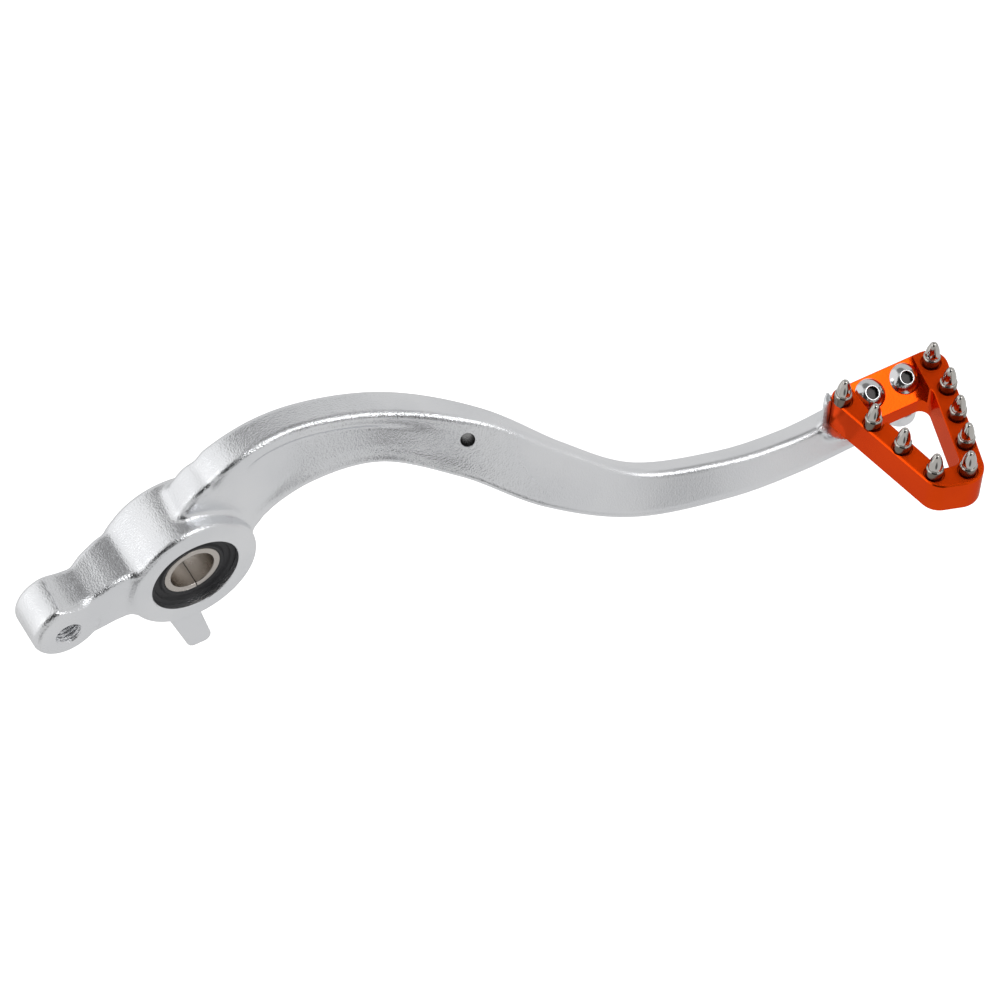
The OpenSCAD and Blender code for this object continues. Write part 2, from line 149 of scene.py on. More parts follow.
def coat(obj, material):
    """Gives a piece one material."""
    obj.data.materials.clear()
    obj.data.materials.append(material)


def grid_faces(rows, columns, closed_rows=False, closed_columns=True):
    """Quads of a grid of rows by columns, as one array."""
    i = np.arange(rows if closed_rows else rows - 1)[:, None]
    j = np.arange(columns if closed_columns else columns - 1)[None, :]
    a = i * columns + j
    b = i * columns + (j + 1) % columns
    c = ((i + 1) % rows) * columns + (j + 1) % columns
    d = ((i + 1) % rows) * columns + j
    return np.stack([a, b, c, d], -1).reshape(-1, 4)


def capped_faces(rows, columns):
    """Quads of a tube of closed rows, and a face over either end."""
    faces = grid_faces(rows, columns).tolist()
    faces.append(list(range(columns - 1, -1, -1)))
    faces.append(list(range((rows - 1) * columns, rows * columns)))
    return faces


def turned(profile, sides=96):
    """A profile of radius and height carried round Z: (r cos t, r sin t, h). Ends on the axis are closed by a disc
    of triangles, a profile that returns to its start makes a ring."""
    profile = np.asarray(profile, float)
    t = np.linspace(0, 2 * PI, sides, endpoint=False)
    ring = np.stack([np.outer(profile[:, 0], np.cos(t)), np.outer(profile[:, 0], np.sin(t)),
                     np.repeat(profile[:, 1:2], sides, 1)], -1)
    if profile[0, 0] > 1e-6 and profile[-1, 0] > 1e-6:
        return ring.reshape(-1, 3), grid_faces(len(profile), sides, True).tolist()
    rows = len(profile) - 2
    points = np.vstack([ring[1:-1].reshape(-1, 3), [[0, 0, profile[0, 1]]], [[0, 0, profile[-1, 1]]]])
    faces = grid_faces(rows, sides).tolist()
    j = np.arange(sides)
    k = (j + 1) % sides
    faces += np.stack([k, j, np.full(sides, rows * sides)], -1).tolist()
    last = (rows - 1) * sides
    faces += np.stack([last + j, last + k, np.full(sides, rows * sides + 1)], -1).tolist()
    return points, faces


def rounded(profile, radius, steps=4):
    """The profile with each inner corner replaced by an arc of about the radius, as points."""
    profile = np.asarray(profile, float)
    out = [profile[0]]
    for a, b, c in zip(profile[:-2], profile[1:-1], profile[2:]):
        u, v = a - b, c - b
        lu, lv = np.linalg.norm(u), np.linalg.norm(v)
        u, v = u / lu, v / lv
        turn = np.arccos(np.clip(-u @ v, -1, 1))
        if turn < 0.2:
            out.append(b)
            continue
        cut = min(radius * np.tan(turn / 2), 0.45 * lu, 0.45 * lv)
        p, q = b + u * cut, b + v * cut
        for s in np.linspace(0, 1, steps + 1):
            out.append((1 - s) ** 2 * p + 2 * s * (1 - s) * b + s * s * q)
    out.append(profile[-1])
    return np.array(out)


def along_y(points):
    """Turns the Z axis of a turned piece to Y, keeping its faces outward."""
    p = np.asarray(points, float)
    return np.stack([p[:, 0], p[:, 2], -p[:, 1]], -1)


def loop_points(circles, grow=0.0, steps=14):
    """The outline round a row of circles, anticlockwise: an arc on each circle between its two tangent sides."""
    circles = np.asarray(circles, float)
    n = len(circles)
    turns = []
    for i in range(n):
        c, d = circles[i], circles[(i + 1) % n]
        v = d[:2] - c[:2]
        turns.append(np.arctan2(v[1], v[0]) - np.arccos((c[2] - d[2]) / np.hypot(*v)))
    out = []
    for i in range(n):
        start, stop = turns[i - 1], turns[i]
        while stop < start:
            stop += 2 * PI
        t = np.linspace(start, stop, steps)
        r = circles[i, 2] + grow
        out.append(np.stack([circles[i, 0] + r * np.cos(t), circles[i, 1] + r * np.sin(t)], -1))
    return np.vstack(out)


def prism(rings):
    """A solid between closed loops of equal length: (loop, height) pairs from low to high, capped at both ends."""
    n = len(rings[0][0])
    points = np.vstack([np.column_stack([loop, np.full(n, z)]) for loop, z in rings])
    return points, capped_faces(len(rings), n)


def solver_cut(obj, cutters):
    """Takes the cutters, as (points, faces) in millimetres, out of a closed mesh."""
    start, points, faces = 0, [], []
    for p, f in cutters:
        points.append(np.asarray(p, float))
        faces += [[int(v) + start for v in g] for g in f]
        start += len(p)
    tool = new_object("cutter", np.vstack(points), faces, None)
    cut = obj.modifiers.new("cut", "BOOLEAN")
    cut.operation, cut.solver, cut.object = "DIFFERENCE", "MANIFOLD", tool
    apply(obj)
    bpy.data.objects.remove(tool)


def moved(piece, turn=None, shift=(0, 0, 0)):
    """A (points, faces) pair turned by a 3 by 3 matrix and shifted."""
    p = np.asarray(piece[0], float)
    if turn is not None:
        p = p @ np.asarray(turn, float).T
    return p + np.asarray(shift, float), piece[1]


def move_mesh(obj, turn, shift):
    """Turns and shifts a piece's own mesh; the shift is in millimetres."""
    mesh = obj.data
    p = np.empty(len(mesh.vertices) * 3)
    mesh.vertices.foreach_get("co", p)
    p = (p.reshape(-1, 3) / MM) @ turn.T + shift
    mesh.vertices.foreach_set("co", (p * MM).ravel())


def unit(v):
    """Vectors of the same directions and length 1."""
    return v / np.linalg.norm(v, axis=-1, keepdims=True)


def looking(z, beside=(0, 0, 1.0)):
    """The turn whose Z axis points along z and whose X axis is square to z and beside."""
    z = unit(np.array(z, float))
    x = unit(np.cross(beside, z))
    return np.stack([x, np.cross(z, x), z], 1)


# ---------------------------------------------------------------- the forging as a level surface
def smooth_min(a, b, k):
    """Polynomial blend of two distances: a fillet of about k where the shapes meet."""
    h = np.clip(0.5 + 0.5 * (b - a) / k, 0, 1)
    return b + (a - b) * h - k * h * (1 - h)


def smooth_max(a, b, k):
    """The same for a cut or a common part."""
    return -smooth_min(-a, -b, k)


def through(stations, steps=24):
    """Catmull-Rom curve through the stations, each column alike."""
    k = np.asarray(stations, float)
    k = np.vstack([2 * k[0] - k[1], k, 2 * k[-1] - k[-2]])
    t = np.linspace(0, 1, steps, endpoint=False)[:, None]
    rows = [0.5 * (2 * b + (c - a) * t + (2 * a - 5 * b + 4 * c - d) * t ** 2 + (3 * b - 3 * c + d - a) * t ** 3)
            for a, b, c, d in zip(k[:-3], k[1:-2], k[2:-1], k[3:])]
    return np.vstack(rows + [k[-2:-1]])


ARM_PATH = through(ARM)
ARM_AHEAD = np.gradient(ARM_PATH[:, :3], axis=0)
NECK_PATH = through(NECK)


def arm_frames():
    """The section's axes along the path: inward and up, turned by the twist."""
    d = unit(ARM_AHEAD)
    inward = unit(np.cross([0, 0, 1.0], d))
    up = np.cross(d, inward)
    t = np.radians(ARM_PATH[:, 3])[:, None]
    return np.cos(t) * inward - np.sin(t) * up, np.sin(t) * inward + np.cos(t) * up


ARM_IN, ARM_UP = arm_frames()


def ease(t):
    """0 below 0, 1 above 1, smooth between."""
    t = np.clip(t, 0, 1)
    return t * t * (3 - 2 * t)


def rounded_rod(a, b, past, r):
    """Distance to a rounded section, given how far a point is past its two half sizes and past the rod's end."""
    a, b = a + r, b + r
    outside = np.sqrt(np.maximum(a, 0) ** 2 + np.maximum(b, 0) ** 2 + past ** 2)
    return outside + np.minimum(np.maximum(a, b), 0) - r


def arm_distance(p):
    """Distance to the swept arm. The nearest station is found by Newton steps along the path, the point is put in the
    section's frame, and the section is a rounded rectangle less the channel, whose floor rises out of the face."""
    last = len(ARM_PATH) - 1
    s = np.interp(p[:, 0], ARM_PATH[:, 0], np.arange(last + 1))

    def at(table):
        """The table's rows at s, between its own."""
        i = np.minimum(s.astype(int), last - 1)
        f = (s - i)[:, None]
        return table[i] * (1 - f) + table[i + 1] * f

    for _ in range(4):  # Newton steps
        d = at(ARM_AHEAD)
        s = np.clip(s + ((p - at(ARM_PATH[:, :3])) * d).sum(1) / (d * d).sum(1), 0, last)
    off = p - at(ARM_PATH[:, :3])
    height = at(ARM_PATH[:, 4:5])[:, 0]
    across, up = (off * at(ARM_IN)).sum(1), (off * at(ARM_UP)).sum(1)
    along = np.abs((off * unit(at(ARM_AHEAD))).sum(1))
    body = rounded_rod(np.abs(across) - ARM_W / 2, np.abs(up) - height / 2, along, ARM_ROUND)
    x = p[:, 0]
    (start, sinks), (end, rises) = CHANNEL_START, CHANNEL_END
    depth = (CHANNEL + CHANNEL_PROUD) * ease((x - start) / sinks) * ease((end - x) / rises) - CHANNEL_PROUD
    depth = depth * (CHANNEL_LOW + (1 - CHANNEL_LOW) * ease((up + height / 2) / height))
    floor = across + ARM_W / 2 - depth
    wall = (np.abs(up) - height / 2 + FLANGE) * np.where(up < 0, WALL_DOWN, WALL_UP) + floor * WALL_LEAN
    return smooth_max(body, -smooth_max(floor, wall, CHANNEL_ROUND), CHANNEL_EDGE)


def neck_distance(p):
    """Distance to the neck: a rounded section across X whose centre and size follow the stations."""
    x = np.clip(p[:, 0], NECK_PATH[0, 0], NECK_PATH[-1, 0])
    y, z, h, w = (np.interp(x, NECK_PATH[:, 0], NECK_PATH[:, i]) for i in (1, 2, 3, 4))
    return rounded_rod(np.abs(p[:, 1] - y) - w / 2, np.abs(p[:, 2] - z) - h / 2, p[:, 0] - x, ARM_ROUND)


def drum_distance(p, x, z, y0, y1, r, rim):
    """Distance to a drum along Y with rounded rims."""
    rho = np.hypot(p[:, 0] - x, p[:, 2] - z)
    return rounded_rod(rho - r, np.abs(p[:, 1] - (y0 + y1) / 2) - (y1 - y0) / 2, 0, rim)


def loop_distance(u, v, circles):
    """Distance in a plane to the convex outline round a row of circles: the farthest tangent side, or in the fan
    between the two normals of a circle the distance to its arc."""
    normals = []
    f = np.full(len(u), -1e9)
    for c, d in zip(circles, circles[1:] + circles[:1]):
        e = np.array([d[0] - c[0], d[1] - c[1]], float)
        t = np.arctan2(e[1], e[0]) - np.arccos((c[2] - d[2]) / np.hypot(*e))
        normals.append((np.cos(t), np.sin(t)))
        f = np.maximum(f, (u - c[0]) * np.cos(t) + (v - c[1]) * np.sin(t) - c[2])
    for c, m, n in zip(circles, normals[-1:] + normals[:-1], normals):
        x, y = u - c[0], v - c[1]
        fan = (m[0] * y - m[1] * x >= 0) & (x * n[1] - y * n[0] >= 0)
        f = np.where(fan, np.hypot(x, y) - c[2], f)
    return f


def eye_distance(p):
    """Distance to the push-rod eye: a drum less the falling flat on its top."""
    x, y, z = p.T
    drum = drum_distance(p, EYE_X, 0, EYE_Y0, EYE_Y1, EYE_R, RIM)
    past = x - EYE_X - EYE_STEP_X
    flat = np.maximum((EYE_R - EYE_FLAT - z) * np.cos(EYE_FALL) - past * np.sin(EYE_FALL),
                      EYE_SKEW * (y - EYE_STEP_Y) - past)
    return smooth_max(drum, -flat, 0.5)


def lug_distance(p):
    """Distance to the stop lug."""
    x, y, z = p.T
    return rounded_rod(loop_distance(x, z, LUG), np.abs(y - LUG_Y - LUG_T / 2) - LUG_T / 2, 0, LUG_ROUND)


def head_distance(p):
    """Distance to the head under the plate: a long block with round ends, and the tapped tip that stands proud."""
    x, y, z = p.T
    r = (HEAD_BACK - HEAD_FRONT) / 2
    head = loop_distance(x, y, [[HEAD_X0 + r, HEAD_FRONT + r, r], [HEAD_X1 - r, HEAD_FRONT + r, r]])
    head = smooth_max(head, HEAD_LOW - z, 3.0)
    head = smooth_max(head, z - HEAD_LOW - PLATE_T - 1, 1.0)
    tip = np.hypot(x - TIP_X, y - HEAD_FRONT + TIP_PROUD - TIP_R) - TIP_R
    tip = smooth_max(tip, np.maximum(TIP_LOW - z, z - TIP_LOW - PLATE_T), 1.2)
    return smooth_min(head, tip, TIP_FILLET)


def forging_distance(p):
    """The whole forging: boss, arm, neck, eye, lug and head joined with fillets, then faced and cut."""
    x, y, z = p.T
    f = drum_distance(p, 0, 0, -BOSS_W / 2, BOSS_W / 2, BOSS_R, RIM)
    f = smooth_min(f, arm_distance(p), ARM_FILLET)
    f = smooth_min(f, smooth_min(neck_distance(p), eye_distance(p), EYE_FILLET), NECK_FILLET)
    f = smooth_min(f, lug_distance(p), LUG_FILLET)
    # both ends of the boss are faced flat
    past_rim = np.hypot(x, z) - (BOSS_R + FACING_PAST)
    for side in (-1, 1):
        f = smooth_max(f, -np.maximum(past_rim, BOSS_W / 2 - side * y), FACING_EDGE)
    f = smooth_min(f, head_distance(p), HEAD_FILLET)
    # the seat under the plate's slab, and the room of the plate's left leg, which the forging wraps
    slab = (y - PLATE_BACK) * -np.sin(TILT) + (z - SLAB_LOW) * np.cos(TILT) + SLAB_PLAY
    f = smooth_max(f, np.minimum(slab, x - WRAP_X), 0.4)
    outline = np.minimum(loop_distance(x, y, PLATE) - PLATE_PLAY, y - WRAP_Y)
    leg = np.maximum(np.maximum(x - POCKET_X0 + LEG_PLAY, outline), PLATE_LOW - UNDER_PLAY - z)
    return smooth_max(f, -np.maximum(leg, LEG_X0 - x), 0.3)


def lattice(*counts):
    """Grid points in whole steps, one row each."""
    return np.stack(np.meshgrid(*[np.arange(n) for n in counts], indexing="ij"), -1).reshape(-1, len(counts))


def sampled(distance, low, high, step):
    """Distances on the grid: coarse in cells of BLOCK steps, fine in the cells near the surface."""
    blocks = np.ceil((np.asarray(high) - low) / (step * BLOCK)).astype(int)
    index = lattice(*blocks)
    middle = low + (index * BLOCK + (BLOCK - 1) / 2) * step
    coarse = np.concatenate([distance(q) for q in np.array_split(middle, 1 + len(middle) // 200000)])
    values = coarse.reshape(blocks)
    for axis in range(3):
        values = np.repeat(values, BLOCK, axis)
    near = index[np.abs(coarse) < step * BLOCK * 1.15]
    inner = lattice(BLOCK, BLOCK, BLOCK)
    for part in np.array_split(near, 1 + len(near) // 2500):
        cells = (part[:, None] * BLOCK + inner[None]).reshape(-1, 3)
        values[tuple(cells.T)] = distance(low + cells * step)
    return values


def cell_points(values, solid):
    """A point in each cell that the surface crosses, in grid steps, at the mean of its edge crossings; and the grid
    of the points' numbers, -1 in the other cells."""
    shape = np.array(solid.shape) - 1
    corners = lattice(2, 2, 2)
    count = sum(solid[i:i + shape[0], j:j + shape[1], k:k + shape[2]].astype(np.int8) for i, j, k in corners)
    cell = np.argwhere((count > 0) & (count < len(corners)))
    number = np.full(shape, -1)
    number[tuple(cell.T)] = np.arange(len(cell))
    at_corner = np.stack([values[tuple((cell + c).T)] for c in corners], 1)
    total, hits = np.zeros((len(cell), 3)), np.zeros(len(cell))
    for a, b in combinations(range(len(corners)), 2):
        if np.abs(corners[a] - corners[b]).sum() == 1:
            u, v = at_corner[:, a], at_corner[:, b]
            crossed = (u < 0) != (v < 0)
            t = np.where(crossed, u / np.where(crossed, u - v, 1), 0)[:, None]
            total += np.where(crossed[:, None], corners[a] * (1 - t) + corners[b] * t, 0)
            hits += crossed
    return cell + total / hits[:, None], number


def crossing_quads(solid, number):
    """A quad of the 4 cells round each grid edge that the surface crosses, turned outward."""
    shape = np.array(solid.shape) - 1
    ahead = np.eye(3, dtype=int)
    quads = []
    for axis, (u, v) in enumerate(((1, 2), (2, 0), (0, 1))):
        here = solid[tuple(slice(0, s) for s in shape)]
        there = solid[tuple(slice(o, s + o) for s, o in zip(shape, ahead[axis]))]
        edge = np.argwhere(here != there)
        edge = edge[(edge[:, u] > 0) & (edge[:, v] > 0)]
        outward = here[tuple(edge.T)]
        cells = (edge - ahead[u] - ahead[v], edge - ahead[v], edge, edge - ahead[u])
        quad = np.stack([number[tuple(c.T)] for c in cells], 1)
        quad[~outward] = quad[~outward][:, ::-1]
        quads.append(quad)
    return np.vstack(quads)


def settled(points, faces, distance):
    """The points evened out, then moved along the distance's slope onto the surface; done three times."""
    pairs = np.vstack([faces[:, [0, 1]], faces[:, [1, 2]], faces[:, [2, 3]], faces[:, [3, 0]]])
    share = np.bincount(pairs[:, 0], minlength=len(points))[:, None]
    for newton_steps in (2, 2, 3):
        total = [np.bincount(pairs[:, 0], points[pairs[:, 1], i], len(points)) for i in range(3)]
        points = points + 0.5 * (np.stack(total, 1) / share - points)
        for _ in range(newton_steps):
            here = distance(points)
            slope = np.stack([distance(points + TINY * axis) - here for axis in np.eye(3)], 1) / TINY
            points = points - slope * (here / np.maximum((slope ** 2).sum(1), 0.2))[:, None]
    return points


def level_surface(distance, low, high, step):
    """The surface where distance is zero, as evenly spread quads."""
    low = np.asarray(low, float)
    values = sampled(distance, low, high, step)
    solid = values < 0
    cells, number = cell_points(values, solid)
    faces = crossing_quads(solid, number)
    return settled(low + cells * step, faces, distance), faces


# ---------------------------------------------------------------- pieces
def slope_frame(step):
    """Turn and shift of the frame on the sloped seat: Z along the screw, origin at the slab's upper face."""
    c, s = np.cos(TILT), np.sin(TILT)
    turn = np.array([[1, 0, 0], [0, c, -s], [0, s, c]])
    return turn, np.array([SCREW_X + step * SCREW_GAP, PLATE_BACK, PLATE_TOP]) + turn @ [0, -SCREW_S, 0]


def thread_cutter():
    """The M8 thread as a cutter: radius core + depth * wave(y / pitch - turn), with a countersunk mouth."""
    sides = 72
    turns = np.linspace(0, 2 * PI, sides, endpoint=False)
    y = np.arange(EYE_Y0 - 1.5, EYE_Y1 + 1.5, ROD_PITCH / 10)
    phase = (y[:, None] / ROD_PITCH - turns[None] / (2 * PI)) % 1
    wave = np.clip(1.25 - np.abs(phase - 0.5) * 3.0, 0, 0.92)
    mouth = np.maximum(EYE_Y0 + ROD_MOUTH - y, y - EYE_Y1 + ROD_MOUTH)[:, None]
    r = np.maximum(ROD_CORE_R + (ROD_TOP_R - ROD_CORE_R) * wave, ROD_CORE_R + mouth)
    r = np.minimum(r, ROD_MOUTH_R)
    points = np.stack([EYE_X + r * np.sin(turns), np.repeat(y[:, None], sides, 1), ROD_Z + r * np.cos(turns)], -1)
    return points.reshape(-1, 3), capped_faces(len(y), sides)


def forging():
    """The forging: its level surface, then the machined holes as exact cuts."""
    points, faces = level_surface(forging_distance, *ROOM, VOXEL)
    obj = new_object("forged_arm", points, faces, "pedal", "forged_aluminium", ["arm"])
    half, mouth = BOSS_W / 2, SEAL_R + SEAT_CHAMFER
    side = [[SEAL_R, CUP_HALF], [SEAL_R, half - SEAT_CHAMFER], [mouth, half], [mouth, REACH], [0, REACH]]
    shaft = turned([[r, -y] for r, y in side[::-1]] + [[CUP_R, -CUP_HALF], [CUP_R, CUP_HALF]] + side, 128)
    wide, step = TETHER_R + TETHER_EDGE, TETHER_HALF + 0.5
    hole = turned([[0, -REACH], [wide, -REACH], [wide, -step], [TETHER_R, -TETHER_HALF], [TETHER_R, TETHER_HALF],
                   [wide, step], [wide, REACH], [0, REACH]], 40)
    tapped = turned([[0, -SCREW_L - 1.6], [SCREW_R, -SCREW_L - 0.4], [SCREW_R, 1], [0, 1]], 40)
    screws = [moved(tapped, *slope_frame(i)) for i in (0, 1)]
    shaft, hole = (along_y(shaft[0]), shaft[1]), moved(hole, looking(TETHER_OUT), TETHER)
    solver_cut(obj, [shaft, hole, thread_cutter()] + screws)
    crisp(obj, 32)
    return obj


def slope_wedge(front, level, far):
    """A prism along the plate's pocket. Its sloped side is parallel to the slab, at the given level over the plate's
    back edge, and runs from the Y of front to past that edge; the side opposite lies at the height far. Its right end
    leans with Y, as the window's side does."""
    back = PLATE_BACK + 3
    side = [[y, level + (y - PLATE_BACK) * np.tan(TILT)] for y in (front, back)] + [[back, far], [front, far]]
    left = [[POCKET_X0, *q] for q in side]
    right = [[POCKET_X1 + POCKET_LEAN * (q[0] - PLATE_BACK), *q] for q in side]
    faces = [[0, 1, 2, 3], [7, 6, 5, 4], [0, 4, 5, 1], [1, 5, 6, 2], [2, 6, 7, 3], [3, 7, 4, 0]]
    if far > level:
        faces = [f[::-1] for f in faces]
    return np.array(left + right), faces


def step_plate():
    """The step plate: chamfered loop, less the window, the pocket over the slab, the room under it and the holes."""
    top, low, c, e = PLATE_TOP, PLATE_LOW, PLATE_CHAMFER, PLATE_BREAK
    outline, inside = loop_points(PLATE), loop_points(WINDOW)
    body = prism([(loop_points(PLATE, -e), low), (outline, low + e), (outline, top - c),
                  (loop_points(PLATE, -c), top)])
    obj = new_object("plate", *body, "pedal", "anodised_plate", ["step_plate"], 25)
    flared = loop_points(WINDOW, e + 1)
    window = prism([(flared, low - 1), (inside, low + e), (inside, top - e), (flared, top + 1)])
    pocket = slope_wedge(SLAB_FRONT - 6, top, top + 9)
    under = slope_wedge(PLATE_BACK - (SLAB_LOW - low) / np.tan(TILT) - 2, SLAB_LOW, low - 5)
    hole = turned([[0, -12], [SCREW_R + 0.3, -12], [SCREW_R + 0.3, 2], [0, 2]], 40)
    for cutter in [window, pocket, under] + [moved(hole, *slope_frame(i)) for i in (0, 1)]:
        solver_cut(obj, [cutter])
    shank, mouth = PIN_SHANK_R + 0.05, PIN_R + 0.35
    seat = turned([[0, -PIN_SHANK_L - 1.4], [shank, -PIN_SHANK_L - 1.0], [shank, -PIN_SEAT], [mouth, -PIN_SEAT],
                   [mouth, -0.25], [mouth + 0.3, 0.05], [mouth + 0.3, 1], [0, 1]], 48)
    solver_cut(obj, [moved(seat, None, [x, y, top]) for x, y in PINS])
    # planar faces are joined first, so that the cuts leave no slivers for the bevel to twist
    merge = obj.modifiers.new("flat", "DECIMATE")
    merge.decimate_type, merge.angle_limit = "DISSOLVE", np.radians(0.6)
    soften(obj, 0.14, 22)
    return obj


def cleat_pin(i):
    """A pointed pin: shank, body, narrow groove, an ogive whose radius falls as 1 - t ** 1.9, and a round tip."""
    base, neck = PIN_BODY + PIN_GROOVE, CONE_R - 0.3
    t = np.linspace(0, 1, 16)[1:]
    ogive = np.stack([PIN_TIP + (CONE_R - PIN_TIP) * (1 - t ** OGIVE), base + (PIN_H - 0.6 - base) * t], -1)
    a = np.radians(np.linspace(20, 90, 6))
    tip = np.stack([PIN_TIP * 1.06 * np.cos(a), PIN_H - PIN_TIP + PIN_TIP * np.sin(a)], -1)
    tip[-1, 0] = 0
    foot = -PIN_SEAT - PIN_SHANK_L
    lower = rounded([[0, foot], [PIN_SHANK_R - 0.4, foot], [PIN_SHANK_R, foot + 0.4], [PIN_SHANK_R, -PIN_SEAT],
                     [PIN_R, -PIN_SEAT], [PIN_R, PIN_BODY - 0.35], [PIN_R - 0.35, PIN_BODY],
                     [neck, PIN_BODY + 0.02], [neck, base - 0.22], [CONE_R, base - 0.05], [CONE_R, base]], 0.12, 3)
    points, faces = turned(np.vstack([lower, ogive, tip]), 56)
    points = points + [PINS[i][0], PINS[i][1], PLATE_TOP]
    name = "cleat_pin_%d" % (i + 1)
    obj = new_object("grip_pin_%d" % (i + 1), points, faces, "pedal", "pin_steel", [name], 40)
    weigh(obj)
    return obj


def step_screw(i, node, steel_outside, painted_shade_inside):
    """A button head screw: a dome, a small flat with a countersunk hex socket, and the shank; the socket's faces take
    a near-black painted shade.
    """
    ball = (HEAD_R ** 2 + HEAD_H ** 2) / (2 * HEAD_H)
    low, high = np.arcsin(HEAD_R / ball), np.arcsin(HEAD_FLAT_R / ball)
    t = np.linspace(low, high, 14)
    drop = HEAD_H - ball + ball * np.cos(high)
    dome = np.stack([ball * np.sin(t), HEAD_H - ball + ball * np.cos(t)], -1)
    profile = np.vstack([[[0, -SCREW_L], [SCREW_R - 0.5, -SCREW_L], [SCREW_R, 0.5 - SCREW_L], [SCREW_R, 0.0],
                          [HEAD_R - 0.2, 0.0], [HEAD_R, 0.15]], dome[1:],
                         [[HEAD_FLAT_R - 0.15, drop + 0.05], [0, drop + 0.05]]])
    points, faces = turned(profile, 72)
    obj = new_object("button_screw_%d" % (i + 1), points, faces, "pedal", "screw_steel", [node], 30)
    hexagon = HEX_AF / np.sqrt(3)
    a = np.radians(np.arange(6) * 60 + HEX_TURN)
    ring = np.stack([hexagon * np.cos(a), hexagon * np.sin(a)], -1)
    solver_cut(obj, [prism([(ring, drop - HEX_DEPTH), (ring, drop + 1)])])
    sink = [[0, drop - 1.5], [hexagon, drop + 0.05], [hexagon + 0.7, drop + 0.6], [0, drop + 0.6]]
    solver_cut(obj, [turned(sink, 48)])
    turn, shift = slope_frame(i)
    move_mesh(obj, turn, shift)
    soften(obj, 0.07, 35)
    coat(obj, steel_outside)
    obj.data.materials.append(painted_shade_inside)
    # painted shade: the faces inside the hex socket get the near-black second material for the shade in the recess
    for face in obj.data.polygons:
        x, y, z = (np.array(face.center) / MM - shift) @ turn
        face.material_index = int(np.hypot(x, y) < hexagon + 0.05 and drop - HEX_DEPTH - 1 < z < drop - 0.02)


def seal(side, node):
    """A rubber ring: outer rim, a groove in its face and a lip that runs on the sleeve."""
    q, r, y0, y1 = SLEEVE_R + 0.05, SEAL_R, CUP_HALF, CUP_HALF + SEAL_T
    groove = y1 - 0.75
    profile = rounded([[q + 0.4, y0], [r, y0], [r, y1], [r - 1.5, y1], [r - 1.9, groove], [q + 1.5, groove],
                       [q + 0.9, y1 - 0.05], [q, y1 - 0.3], [q, y0 + 0.6], [q + 0.4, y0]], 0.22, 3)[:-1]
    points, faces = turned(profile, 128)
    points = along_y(points)
    if side < 0:
        points = points * [1, -1, 1]
        faces = [f[::-1] for f in faces]
    return new_object("seal_%s" % ("out" if side < 0 else "in"), points, faces, "pedal", "seal_rubber", [node], 40)


def sleeve():
    """The rolled sleeve: a split ring whose section is carried round from one lip of the seam to the other."""
    section = rounded([[SLEEVE_BORE_R, 0], [SLEEVE_BORE_R, SLEEVE_HALF], [SLEEVE_R, SLEEVE_HALF],
                       [SLEEVE_R, -SLEEVE_HALF], [SLEEVE_BORE_R, -SLEEVE_HALF], [SLEEVE_BORE_R, 0]],
                      SLEEVE_EDGE, 4)[:-1]
    section = section[::-1]
    gap = SEAM_HALF / SLEEVE_BORE_R
    t = np.linspace(gap, 2 * PI - gap, 160) + np.radians(SEAM_TURN)
    points = np.stack([np.outer(np.sin(t), section[:, 0]), np.repeat(section[None, :, 1], len(t), 0),
                       -np.outer(np.cos(t), section[:, 0])], -1).reshape(-1, 3)
    faces = capped_faces(len(t), len(section))
    obj = new_object("split_sleeve", points, faces, "pivot", "sleeve_steel", ["pivot_sleeve"], 40)
    weigh(obj)
    return obj


# ---------------------------------------------------------------- finishes
class Number:
    """A socket of a node tree: an expression on it adds Math nodes."""

    def __init__(self, nodes, socket):
        self.nodes, self.socket = nodes, socket

    def maths(self, operation, *values):
        """One Math node on the values."""
        return self.nodes.add("ShaderNodeMath", {"operation": operation}, dict(enumerate(values)))

    def __add__(self, other):
        return self.maths("ADD", self, other)

    __radd__ = __add__

    def __sub__(self, other):
        return self.maths("SUBTRACT", self, other)

    def __rsub__(self, other):
        return self.maths("SUBTRACT", other, self)

    def __mul__(self, other):
        return self.maths("MULTIPLY", self, other)

    __rmul__ = __mul__

    def smooth(self, low, high):
        """0 below low, 1 above high, smooth between."""
        return self.nodes.add("ShaderNodeMapRange", {"interpolation_type": "SMOOTHSTEP"},
                              {"Value": self, "From Min": low, "From Max": high})


class Nodes:
    """A node tree, emptied, to which nodes are added by kind."""

    def __init__(self, tree):
        self.tree = tree
        self.tree.nodes.clear()

    def add(self, kind, settings=None, sockets=None, output=0):
        """A node: its settings first, then its sockets' values or links. Gives one of its outputs."""
        node = self.tree.nodes.new(kind)
        for key, value in (settings or {}).items():
            setattr(node, key, value)
        for key, value in (sockets or {}).items():
            if isinstance(value, Number):
                self.tree.links.new(value.socket, node.inputs[key])
            else:
                node.inputs[key].default_value = value
        return Number(self, node.outputs[output])

    def close(self, kind, shader):
        """The output node of this kind, fed by the shader."""
        self.tree.links.new(shader.socket, self.tree.nodes.new(kind).inputs["Surface"])


